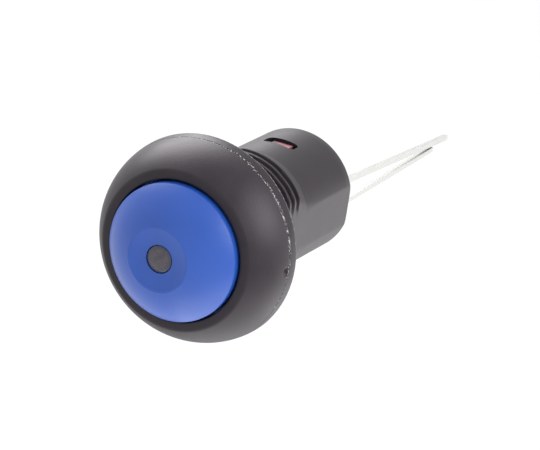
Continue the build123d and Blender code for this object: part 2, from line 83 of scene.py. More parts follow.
THREAD_START_S, THREAD_RUN_IN, THREAD_TAIL, THREAD_RUN_OUT = -0.5, 0.4, 0.4, 0.15
THREAD_FADE_ANGLE, THREAD_FULL_ANGLE = math.radians(19), math.radians(31)
KEY_COUNT, FIRST_KEY_ANGLE = 3, math.radians(90)
NECK_R, NECK_END_S, BODY_R = 6.45, -9.4, 6.15
FLAT_X, FLAT_SOFTNESS_AHEAD, FLAT_SOFTNESS_BEHIND = 5.8, 0.26, 0.05
SKIRT_RECESS_R, SKIRT_RECESS_S = 7.6, 0.85
UPPER_BORE_R, LOWER_BORE_R, BORE_STEP_S, HEAD_RECESS_R = 4.6, 5.0, -7.0, 6.5
GROOVE_INNER_R, GROOVE_OUTER_R, GROOVE_DEPTH = 7.5, 8.8, 0.4
WINDOW_ROWS, WINDOW_MARGIN_ROWS = 18, 4
WINDOW_HALF_WIDTH, WINDOW_FRONT_S, WINDOW_REAR_S, WINDOW_CORNER_R = 1.65, -13.2, -14.8, 0.5
CAP_R, CAP_EDGE_R, CAP_EDGE_S, CAP_DOME_R, CAP_WALL = 6.6, 6.55, 5.87, 8.4, 1.15
CAP_FLANGE_R, CAP_FLANGE_TOP_S, CAP_BORE_R = 7.4, 3.75, 5.45
DISH_R, DISH_FLOOR_S, DISH_POWER, NOSE_HOLE_R = 3.03, 8.12, 1.6, 1.35
BOSS_R, BOSS_BOTTOM_S = 2.6, 2.95
KEYWAY_FLOOR_R, KEYWAY_HALF_ANGLE = 7.05, math.radians(4.7)
RIB_COUNT, FIRST_RIB_ANGLE, RIB_HALF_WIDTH, RIB_BOTTOM_S = 6, math.radians(30), 0.3, 4.75
LAMP_CLEARANCE = 0.05
LAMP_R, LAMP_FLANGE_R, LAMP_FLANGE_HEIGHT, LAMP_NOSE_R, LAMP_STEP_S, LAMP_SHOULDER_S = (
    1.5, 1.9, 0.95, 1.28, 7.3, 8.05)
# painted shade on the contact block: full below x = -0.9 mm, gone from x = -0.2 mm
PAINTED_SHADE_FULL_X, PAINTED_SHADE_END_X = -0.9, -0.2
FLOOR_Z, FLOOR_REACH, FLOOR_WHITE = -0.16, 1.5, 0.93
# painted highlight: the burr's white stands for light glinting off the torn flash
BLACK_GLOSS_TINT, BURR_GLINT_WHITE, POLYAMIDE_IOR = "#FFF5FF", "#D8D6D8", 1.53
MERGE_DISTANCE = 0.0005


# ---------------------------------------------------------------- colour and node helpers
def linear(hex_colour):
    """sRGB hex colour as linear red, green, blue and an alpha of one."""
    channels = [int(hex_colour[i:i + 2], 16) / 255 for i in (1, 3, 5)]
    return [c / 12.92 if c <= 0.04045 else ((c + 0.055) / 1.055) ** 2.4 for c in channels] + [1.0]


def new_material(name):
    """Empty node material: returns it, its tree, its Principled shader and Object coordinates."""
    material = bpy.data.materials.new(name)
    material.use_nodes = True
    tree = material.node_tree
    shader = tree.nodes["Principled BSDF"]
    place = tree.nodes.new("ShaderNodeTexCoord")
    return material, tree, shader, place.outputs["Object"]


def add_node(tree, kind, settings=None, **inputs):
    """Adds a shader node; settings are attributes, inputs are values or sockets by socket name."""
    node = tree.nodes.new("ShaderNode" + kind)
    for key, value in (settings or {}).items():
        setattr(node, key, value)
    for key, value in inputs.items():
        socket = node.inputs[key.replace("_", " ")]
        if isinstance(value, bpy.types.NodeSocket):
            tree.links.new(value, socket)
        else:
            socket.default_value = value
    return node


def ramp(tree, factor, stops):
    """Colour ramp over a factor; stops are (position, hex colour)."""
    node = add_node(tree, "ValToRGB", Fac=factor)
    elements = node.color_ramp.elements
    while len(elements) < len(stops):
        elements.new(0.5)
    for element, (position, colour) in zip(elements, stops):
        element.position = position
        element.color = linear(colour)
    return node.outputs["Color"]


def level(tree, factor, low, high):
    """Maps a 0 to 1 factor onto low to high."""
    return add_node(tree, "MapRange", Value=factor, To_Min=low, To_Max=high).outputs["Result"]


# ---------------------------------------------------------------- materials
def surface_grain(tree, place, grain_mm, depth_mm, coarse_mm):
    """Fine moulded grain over a slow unevenness: returns the normal and a 0 to 1 mottle."""
    grain = add_node(tree, "TexNoise", Vector=place, Scale=1 / (grain_mm * MM), Detail=3.0)
    mottle = add_node(tree, "TexNoise", Vector=place, Scale=1 / (coarse_mm * MM), Detail=4.0)
    bump = add_node(tree, "Bump", Height=grain.outputs["Fac"], Distance=depth_mm * MM, Strength=1.0)
    return bump.outputs["Normal"], mottle.outputs["Fac"]


def seam_burr_glints(tree, place, bit_mm, reach_mm):
    """Mask of the torn burr's bits, whose white is a painted highlight, glints of light on the
    flash:
    short bright bits scattered within reach of the parting line and, fewer, of the flange's rear
    edge. They are dense between flat and top, where light catches the burr."""
    axes = add_node(tree, "SeparateXYZ", Vector=place)
    distances = []
    for station, extra in ((SEAM_S, 0.0), (FLANGE_EDGE_S, 0.12 * reach_mm)):
        offset = add_node(tree, "Math", {"operation": "ADD"}, Value=axes.outputs["Y"])
        offset.inputs[1].default_value = station * MM
        size = add_node(tree, "Math", {"operation": "ABSOLUTE"}, Value=offset.outputs[0])
        further = add_node(tree, "Math", {"operation": "ADD"}, Value=size.outputs[0])
        further.inputs[1].default_value = extra * MM
        distances.append(further.outputs[0])
    nearest = add_node(tree, "Math", {"operation": "MINIMUM"}, Value=distances[0])
    tree.links.new(distances[1], nearest.inputs[1])
    rarer = add_node(tree, "MapRange", Value=nearest.outputs[0], From_Max=reach_mm * MM, To_Max=0.5)
    # painted highlight: the glints thin out away from the angle where light catches the burr
    aside = add_node(tree, "VectorMath", {"operation": "DOT_PRODUCT"})
    tree.links.new(place, aside.inputs[0])
    aside.inputs[1].default_value = (math.cos(BURR_GLINT_ANGLE), 0, math.sin(BURR_GLINT_ANGLE))
    glint_sparsity = add_node(tree, "MapRange", Value=aside.outputs["Value"], From_Min=0.3 * RIM_R * MM,
                      From_Max=0.97 * RIM_R * MM, To_Min=0.63, To_Max=0.50)
    threshold = add_node(tree, "Math", {"operation": "ADD"}, Value=rarer.outputs["Result"])
    tree.links.new(glint_sparsity.outputs["Result"], threshold.inputs[1])
    along = add_node(tree, "Mapping", Vector=place, Scale=(1.0, 2.4, 1.0))
    bits = add_node(tree, "TexNoise", Vector=along.outputs["Vector"], Scale=1 / (bit_mm * MM),
                    Detail=2.0)
    excess = add_node(tree, "Math", {"operation": "SUBTRACT"}, Value=bits.outputs["Fac"])
    tree.links.new(threshold.outputs[0], excess.inputs[1])
    mask = add_node(tree, "MapRange", Value=excess.outputs[0], From_Max=0.07, To_Max=0.75)
    return mask.outputs["Result"]


def moulded(name, grain, roughness, ior):
    """Moulded plastic that still lacks its colour. grain is its size, depth and unevenness in
    millimetres, roughness goes from the low to the high mottle. Returns the material, its tree, its
    shader, its Object coordinates and the mottle."""
    material, tree, shader, place = new_material(name)
    normal, mottle = surface_grain(tree, place, *grain)
    shader.inputs["IOR"].default_value = ior
    tree.links.new(level(tree, mottle, *roughness), shader.inputs["Roughness"])
    tree.links.new(normal, shader.inputs["Normal"])
    return material, tree, shader, place, mottle


def streaked(name, noise, along, stops, roughness):
    """Material whose colour and roughness follow a noise, given by its size in millimetres and its
    detail. Below one, along draws it out along the axis. Returns the material and its shader."""
    material, tree, shader, place = new_material(name)
    if along < 1:
        place = add_node(tree, "Mapping", Vector=place, Scale=(1.0, along, 1.0)).outputs["Vector"]
    size_mm, detail = noise
    streak = add_node(tree, "TexNoise", Vector=place, Scale=1 / (size_mm * MM), Detail=detail)
    tree.links.new(ramp(tree, streak.outputs["Fac"], stops), shader.inputs["Base Color"])
    tree.links.new(level(tree, streak.outputs["Fac"], *roughness), shader.inputs["Roughness"])
    return material, shader


def black_polyamide(name, grain, gloss, stops, roughness):
    """Black glass-filled polyamide, with a torn burr beside the parting line that carries painted
    white glints.
    """
    material, tree, shader, place, mottle = moulded(name, grain, roughness, POLYAMIDE_IOR)
    shader.inputs["Specular IOR Level"].default_value = gloss
    shader.inputs["Specular Tint"].default_value = linear(BLACK_GLOSS_TINT)
    burr_glints = add_node(tree, "MixRGB", Fac=seam_burr_glints(tree, place, BURR_BIT, BURR_REACH),
                    Color2=linear(BURR_GLINT_WHITE))
    tree.links.new(ramp(tree, mottle, stops), burr_glints.inputs["Color1"])
    tree.links.new(burr_glints.outputs[0], shader.inputs["Base Color"])
    return material


def spark_textured_polyamide():
    """Polyamide moulded in a spark-eroded tool: dark warm grey, a broad soft sheen and a grain so
    fine that it only breaks up the highlights."""
    return black_polyamide("black_polyamide_spark_textured", (0.16, 0.012, 1.8), 0.36,
                           [(0.3, "#1d191e"), (0.7, "#221e23")], (0.40, 0.50))


def smooth_polyamide():
    """The same polyamide from a smoother tool, on bushing and body: darker, with a tighter but
    weaker sheen."""
    return black_polyamide("black_polyamide_moulded", (0.22, 0.008, 2.5), 0.3,
                           [(0.3, "#1c181d"), (0.7, "#211d22")], (0.36, 0.46))


def blue_polyamide():
    """Blue polyamide button, moulded with a satin face: even deep blue, soft whitish sheen."""
    material, tree, shader, _, mottle = moulded(
        "blue_polyamide_satin_moulded", (0.14, 0.006, 3.0), (0.31, 0.38), POLYAMIDE_IOR)
    shader.inputs["Specular IOR Level"].default_value = 0.48
    tree.links.new(ramp(tree, mottle, [(0.3, "#1F4BA3"), (0.7, "#234FA8")]),
                   shader.inputs["Base Color"])
    return material


def cast_epoxy():
    """Cast lamp epoxy, slightly smoked and diffusing: milky grey with light caught inside it, and
    near its edge a painted shade and the button's blue light painted in, so that it turns bluish
    and darker."""
    material, tree, shader, place = new_material("smoked_epoxy_cast")
    cloud = add_node(tree, "TexNoise", Vector=place, Scale=1 / (0.6 * MM), Detail=3.0)
    across = add_node(tree, "Mapping", Vector=place, Scale=(1.0, 0.0, 1.0))
    from_axis = add_node(tree, "VectorMath", {"operation": "LENGTH"})
    tree.links.new(across.outputs["Vector"], from_axis.inputs[0])
    # painted shade and painted blue light of the button, growing towards the nose's edge
    painted_rim_shade_and_blue = add_node(tree, "MapRange", Value=from_axis.outputs["Value"], From_Min=0.95 * MM,
                    From_Max=LAMP_NOSE_R * MM)
    body = add_node(tree, "MixRGB", Fac=painted_rim_shade_and_blue.outputs["Result"], Color2=linear("#39405A"))
    tree.links.new(ramp(tree, cloud.outputs["Fac"], [(0.3, "#47424E"), (0.7, "#5B5660")]),
                   body.inputs["Color1"])
    shader.inputs["IOR"].default_value = 1.54
    shader.inputs["Transmission Weight"].default_value = 0.35
    tree.links.new(body.outputs[0], shader.inputs["Base Color"])
    tree.links.new(level(tree, cloud.outputs["Fac"], 0.22, 0.32), shader.inputs["Roughness"])
    return material


def tinned_wire():
    """Hot-tinned copper-clad steel wire: pale, soft metal with faint drawing lines along it."""
    material, shader = streaked("tinned_steel_wire_drawn", (0.08, 3.0), 0.03,
                                [(0.25, "#A8A8A6"), (0.75, "#B4B4B2")], (0.42, 0.5))
    shader.inputs["Metallic"].default_value = 1.0
    return material


def drawn_spring_wire():
    """Patented spring steel, drawn and lightly oiled: mid grey, finely and unevenly dulled."""
    material, shader = streaked("spring_steel_drawn", (0.1, 4.0), 1.0,
                                [(0.3, "#8C8C8E"), (0.7, "#A6A6A8")], (0.25, 0.4))
    shader.inputs["Metallic"].default_value = 1.0
    return material


def stamped_plated_brass():
    """Stamped brass with thin silver plate: warm pale metal, faintly streaked by rolling."""
    material, shader = streaked("brass_stamped_silver_plated", (0.15, 5.0), 0.08,
                                [(0.3, "#CFC6A8"), (0.7, "#DED8C2")], (0.26, 0.4))
    shader.inputs["Metallic"].default_value = 1.0
    return material


def fine_silver():
    """Fine silver rivets, coined and slightly dulled: nearly white metal."""
    material, shader = streaked("silver_coined", (0.3, 3.0), 1.0,
                                [(0.3, "#DAD8D0"), (0.7, "#ECEAE4")], (0.3, 0.45))
    shader.inputs["Metallic"].default_value = 1.0
    return material


def diced_crystal():
    """The lamp's diced crystal: a tiny yellowish block with a glassy face."""
    material, shader = streaked("lamp_crystal_diced", (0.06, 2.0), 1.0,
                                [(0.3, "#B9A864"), (0.7, "#D2C485")], (0.15, 0.3))
    shader.inputs["IOR"].default_value = 2.4
    return material


def natural_acetal():
    """Undyed acetal, moulded: waxy off-white that lets a little light in."""
    material, tree, shader, _, mottle = moulded(
        "acetal_natural_moulded", (0.2, 0.006, 2.0), (0.35, 0.45), 1.48)
    shader.inputs["Subsurface Weight"].default_value = 0.2
    shader.inputs["Subsurface Scale"].default_value = 0.6 * MM
    tree.links.new(ramp(tree, mottle, [(0.3, "#E2DFD6"), (0.7, "#EAE8E0")]),
                   shader.inputs["Base Color"])
    return material


def silicone_rubber():
    """Black silicone rubber, press moulded: matt with a faint bloom."""
    material, tree, shader, _, mottle = moulded(
        "silicone_rubber_press_moulded", (0.15, 0.01, 1.5), (0.6, 0.75), 1.41)
    tree.links.new(ramp(tree, mottle, [(0.3, "#1B1B1C"), (0.7, "#242425")]),
                   shader.inputs["Base Color"])
    return material


def red_polyester():
    """Red glass-filled polyester of the contact block, moulded: warm red with a soft sheen, and a
    painted shade darkening the end away from the flat."""
    material, tree, shader, place, mottle = moulded(
        "red_polyester_moulded", (0.18, 0.008, 1.2), (0.4, 0.55), 1.57)
    axes = add_node(tree, "SeparateXYZ", Vector=place)
    # painted shade: the block darkens towards its -X end, away from the flat
    unshaded = add_node(tree, "MapRange", Value=axes.outputs["X"], From_Min=PAINTED_SHADE_FULL_X * MM,
                     From_Max=PAINTED_SHADE_END_X * MM)
    with_painted_shade = add_node(tree, "MixRGB", Fac=unshaded.outputs["Result"], Color1=linear("#3E2A30"))
    tree.links.new(ramp(tree, mottle, [(0.3, "#814A52"), (0.7, "#8E575F")]),
                   with_painted_shade.inputs["Color2"])
    tree.links.new(with_painted_shade.outputs[0], shader.inputs["Base Color"])
    return material


BEZEL_FINISH = spark_textured_polyamide()
BODY_FINISH = smooth_polyamide()
BUTTON_FINISH = blue_polyamide()
LAMP_FINISH = cast_epoxy()
WIRE_FINISH = tinned_wire()
SPRING_FINISH = drawn_spring_wire()
PLATED_FINISH = stamped_plated_brass()
SILVER_FINISH = fine_silver()
ACETAL_FINISH = natural_acetal()
RUBBER_FINISH = silicone_rubber()
BLOCK_FINISH = red_polyester()
CRYSTAL_FINISH = diced_crystal()

CAD_FINISHES = {
    "panel_gasket": RUBBER_FINISH,
    "sealing_boot": RUBBER_FINISH,
    "led_chip": CRYSTAL_FINISH,
    "led_lead_anode": WIRE_FINISH,
    "led_lead_cathode": WIRE_FINISH,
    "led_retainer": ACETAL_FINISH,
    "plunger": ACETAL_FINISH,
    "bridge_retainer": ACETAL_FINISH,
    "return_spring": SPRING_FINISH,
    "contact_spring": SPRING_FINISH,
    "contact_bridge": PLATED_FINISH,
    "moving_contact_upper": SILVER_FINISH,
    "moving_contact_lower": SILVER_FINISH,
    "fixed_contact_upper": SILVER_FINISH,
    "fixed_contact_lower": SILVER_FINISH,
    "terminal_upper": PLATED_FINISH,
    "terminal_lower": PLATED_FINISH,
    "contact_block": BLOCK_FINISH,
    "block_cover": BODY_FINISH,
    "terminal_base": BODY_FINISH,
}
for node_name, finish in CAD_FINISHES.items():
    node_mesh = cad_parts[node_name].data
    node_mesh.materials.clear()
    node_mesh.materials.append(finish)


# ---------------------------------------------------------------- surfaces
def rounded_profile(corners, arc_points=4):
    """Closed (radius, station) profile. Each corner is (radius, station, fillet, step): an arc of
    the fillet's radius, tangent to both sides, replaces it, and the straight run after it is
    divided into steps no longer than step."""
    sharp = np.array([corner[:2] for corner in corners], dtype=float)
    ahead = np.roll(sharp, -1, axis=0) - sharp
    ahead /= np.linalg.norm(ahead, axis=1, keepdims=True)
    behind = np.roll(ahead, 1, axis=0)
    starts, ends = [], []
    for point, go, come, corner in zip(sharp, ahead, behind, corners):
        turn = math.atan2(come[0] * go[1] - come[1] * go[0], come @ go)
        reach = corner[2] * math.tan(abs(turn) / 2)
        if reach == 0:
            starts.append(point[None])
            ends.append(point)
            continue
        side = math.copysign(1, turn) * np.array([-come[1], come[0]])
        centre = point - come * reach + side * corner[2]
        sweep = np.linspace(0, abs(turn), arc_points)[:, None]
        starts.append(centre - side * corner[2] * np.cos(sweep) + come * corner[2] * np.sin(sweep))
        ends.append(starts[-1][-1])
    runs = []
    for index, corner in enumerate(corners):
        start, end = ends[index], starts[(index + 1) % len(corners)][0]
        count = max(1, math.ceil(np.linalg.norm(end - start) / corner[3]))
        parts = np.arange(1, count)[:, None] / count
        runs += [starts[index], start + (end - start) * parts]
    return np.concatenate(runs)


def turned(radius, station, phi):
    """Points at a radius, station and angle: x = r cos phi, y = -station, z = r sin phi."""
    return np.stack([radius * np.cos(phi), -station, radius * np.sin(phi)], axis=-1)


def grid_quads(rows, columns):
    """Quads between neighbours of a grid that wraps both ways, as (rows, columns, 4) indices."""
    row, column = np.meshgrid(np.arange(rows), np.arange(columns), indexing="ij")
    next_row, next_column = (row + 1) % rows, (column + 1) % columns
    corners = (row, column), (row, next_column), (next_row, next_column), (next_row, column)
    return np.stack([r * columns + c for r, c in corners], axis=-1)


def finish_piece(name, points, quads, material, body, node, sharp_angle=32):
    mesh = bpy.data.meshes.new(name)
    flat_points, flat_quads = points.reshape(-1, 3) * MM, quads.reshape(-1, 4)
    mesh.vertices.add(len(flat_points))
    mesh.vertices.foreach_set("co", flat_points.ravel())
    mesh.loops.add(flat_quads.size)
    mesh.loops.foreach_set("vertex_index", flat_quads.ravel())
    mesh.polygons.add(len(flat_quads))
    mesh.polygons.foreach_set("loop_start", np.arange(0, flat_quads.size, 4))
    mesh.update(calc_edges=True)
    work = bmesh.new()
    work.from_mesh(mesh)
    bmesh.ops.remove_doubles(work, verts=work.verts, dist=MERGE_DISTANCE * MM)
    bmesh.ops.dissolve_degenerate(work, edges=work.edges, dist=MERGE_DISTANCE * MM)
    if work.calc_volume(signed=True) < 0:
        bmesh.ops.reverse_faces(work, faces=work.faces)
    work.to_mesh(mesh)
    work.free()
    mesh.shade_smooth()
    mesh.set_sharp_from_angle(angle=math.radians(sharp_angle))
    mesh.materials.append(material)
    piece = bpy.data.objects.new(name, mesh)
    bpy.context.scene.collection.objects.link(piece)
    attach(piece, body)
    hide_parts(node)
    return piece


def distance_round(phi, first, count):
    """Angle from phi to the nearest of count directions that divide the turn evenly from first."""
    return np.abs((phi - first + TAU / (2 * count)) % (TAU / count) - TAU / (2 * count))


def bump(distance):
    """Smooth hump: one at zero distance, nought from a distance of one on."""
    return np.clip(1 - distance**2, 0, 1) ** 2


# ---------------------------------------------------------------- bezel
def dome_radius(station):
    """Radius of the dome at a station: r = centre + sqrt(arc^2 - (s - centre_s)^2)."""
    return DOME_ARC_CENTRE_R + np.sqrt(DOME_ARC_R**2 - (station - DOME_ARC_CENTRE_S) ** 2)


def dome_profile():
    """Bezel's outside from the seam to its front corner: the dome's arc, and a corner arc inside it
    that touches both the dome and the flat front ring. The points lie closer beside the seam."""
    corner_s = LIP_S - LIP_CORNER_R
    reach = DOME_ARC_R - LIP_CORNER_R
    corner_r = DOME_ARC_CENTRE_R + math.sqrt(reach**2 - (corner_s - DOME_ARC_CENTRE_S) ** 2)
    tangent = math.atan2(corner_s - DOME_ARC_CENTRE_S, corner_r - DOME_ARC_CENTRE_R)
    start = math.asin((SEAM_S + SEAM_CHAMFER - DOME_ARC_CENTRE_S) / DOME_ARC_R)
    beside_seam = start + 0.14
    dome = np.concatenate([np.linspace(start, beside_seam, 22)[:-1],
                           np.linspace(beside_seam, tangent, 44)])
    corner = np.linspace(tangent, math.pi / 2, 10)[1:-1]
    radius = np.concatenate([DOME_ARC_CENTRE_R + DOME_ARC_R * np.cos(dome),
                             corner_r + LIP_CORNER_R * np.cos(corner)])
    station = np.concatenate([DOME_ARC_CENTRE_S + DOME_ARC_R * np.sin(dome),
                              corner_s + LIP_CORNER_R * np.sin(corner)])
    return radius, station, corner_r


def bezel_moulding():
    """Bezel: dome outside, a flat ring at the front, a lip and a stepped cavity inside. Three keys
    stand on the cavity wall, and beside the seam a gate scar sinks into the dome at phi nought."""
    dome_r, dome_s, ring_r = dome_profile()
    corners = [
        (dome_r[0] - SEAM_CHAMFER, SEAM_S, 0.0, 1.0),
        *[(r, s, 0.0, 1.0) for r, s in zip(dome_r, dome_s)],
        (ring_r, LIP_S, 0.0, 0.4),
        (LIP_R, LIP_S, 0.12, 0.5),
        (LIP_R, LIP_BACK_S, 0.05, 0.5),
        (CAVITY_R, LIP_BACK_S, 0.0, 0.5),
        (CAVITY_R, KEY_BOTTOM_S, 0.0, 1.0),
        (CAVITY_R, KEY_BOTTOM_S - 0.01, 0.0, 1.0),
        (CAVITY_R, BOOT_TOP_S, 0.0, 1.0),
        (BEAD_INNER_R, BOOT_TOP_S, 0.0, 1.0),
        (BEAD_INNER_R, BEAD_TOP_S, 0.0, 1.0),
        (BEAD_OUTER_R, BEAD_TOP_S, 0.0, 1.0),
        (BEAD_OUTER_R, SEAM_S, 0.0, 1.0),
    ]
    profile = rounded_profile(corners)
    key_angles = FIRST_KEY_ANGLE + TAU / KEY_COUNT * np.arange(KEY_COUNT)
    # a key's side walls stand between two columns that nearly touch
    key_edges = (key_angles[:, None] + KEY_HALF_ANGLE * np.array([-1.002, -1, 1, 1.002])).ravel()
    scar_columns = SCAR_COLUMN_ANGLE * np.arange(-9, 10)
    even_columns = np.arange(240) * TAU / 240
    phi = np.unique(np.concatenate([even_columns, key_edges % TAU, scar_columns % TAU]))
    radius, angle = np.meshgrid(profile[:, 0], phi, indexing="ij")
    height = np.repeat(profile[:, 1:2], len(phi), axis=1)
    from_key = distance_round(angle, FIRST_KEY_ANGLE, KEY_COUNT)
    on_key = ((np.abs(radius - CAVITY_R) < 0.001) & (height > KEY_BOTTOM_S - 0.005)
              & (height < LIP_BACK_S))
    radius = np.where(on_key & (from_key < KEY_HALF_ANGLE * 1.001), KEY_TIP_R, radius)
    from_scar = (angle + math.pi) % TAU - math.pi
    outside = radius > LIP_R + 2
    scar = bump(from_scar / SCAR_HALF_ANGLE) * bump((height - SCAR_S) / SCAR_HALF_LENGTH)
    radius = radius - SCAR_DEPTH * scar * outside
    return finish_piece("bezel_moulding", turned(radius, height, angle), grid_quads(*radius.shape),
                        BEZEL_FINISH, "housing", "bezel")


# ---------------------------------------------------------------- bushing
def eased(count):
    """Parts from nought up to one, closer together near both ends."""
    parts = np.arange(count) / count
    return 0.4 * parts + 0.3 * (1 - np.cos(math.pi * parts))


def thread_depth(station, phi):
    """Depth of the right-hand thread's groove below its crest at a station and angle. The phase is
    station / pitch - phi / turn, the groove has sloping flanks and a narrow floor, and it runs out
    at both ends of the thread and over the first bit of the flat."""
    phase = (station / THREAD_PITCH - phi / TAU) % 1.0
    from_groove = np.abs(phase - 0.5)
    flank_width = THREAD_HALF_MOUTH - THREAD_HALF_FLOOR
    flank = np.clip((THREAD_HALF_MOUTH - from_groove) / flank_width, 0, 1)
    run_in = np.clip((THREAD_START_S - station) / THREAD_RUN_IN, 0, 1)
    run_out = np.clip((station - THREAD_END_S - THREAD_TAIL) / THREAD_RUN_OUT, 0, 1)
    from_flat = np.abs((phi + math.pi) % TAU - math.pi) - THREAD_FADE_ANGLE
    fade = np.clip(from_flat / (THREAD_FULL_ANGLE - THREAD_FADE_ANGLE), 0, 1)
    return THREAD_DEPTH * flank * run_in * run_out * fade


def soft_min(value, limit, softness):
    """The lesser of value and limit, with their corner rounded over twice the softness."""
    mix = np.clip(0.5 + (limit - value) / (2 * softness), 0, 1)
    return limit + (value - limit) * mix - softness * mix * (1 - mix)


def round_window(x, station):
    """Turns the corners of the window's grid lines into arcs: within a square of the corner radius
    each square ring (p, q) becomes the circle of radius max(p, q), and the change fades outside."""
    middle = (WINDOW_FRONT_S + WINDOW_REAR_S) / 2
    half_length = (WINDOW_FRONT_S - WINDOW_REAR_S) / 2
    p = np.abs(x) - (WINDOW_HALF_WIDTH - WINDOW_CORNER_R)
    q = np.abs(station - middle) - (half_length - WINDOW_CORNER_R)
    ring = np.maximum(p, q)
    inside = (p > 0) & (q > 0)
    ratio = np.where(inside, np.minimum(p, q) / np.maximum(ring, 1e-9), 0)
    turn = math.pi / 4 * ratio
    near, far = ring * np.cos(turn), ring * np.sin(turn)
    keep = np.clip((2.6 - ring / WINDOW_CORNER_R) / 1.6, 0, 1) * inside
    new_p = p + keep * (np.where(p >= q, near, far) - p)
    new_q = q + keep * (np.where(p >= q, far, near) - q)
    new_x = np.sign(x) * (new_p + WINDOW_HALF_WIDTH - WINDOW_CORNER_R)
    new_station = middle + np.sign(station - middle) * (new_q + half_length - WINDOW_CORNER_R)
    return np.where(inside, new_x, x), np.where(inside, new_station, station)


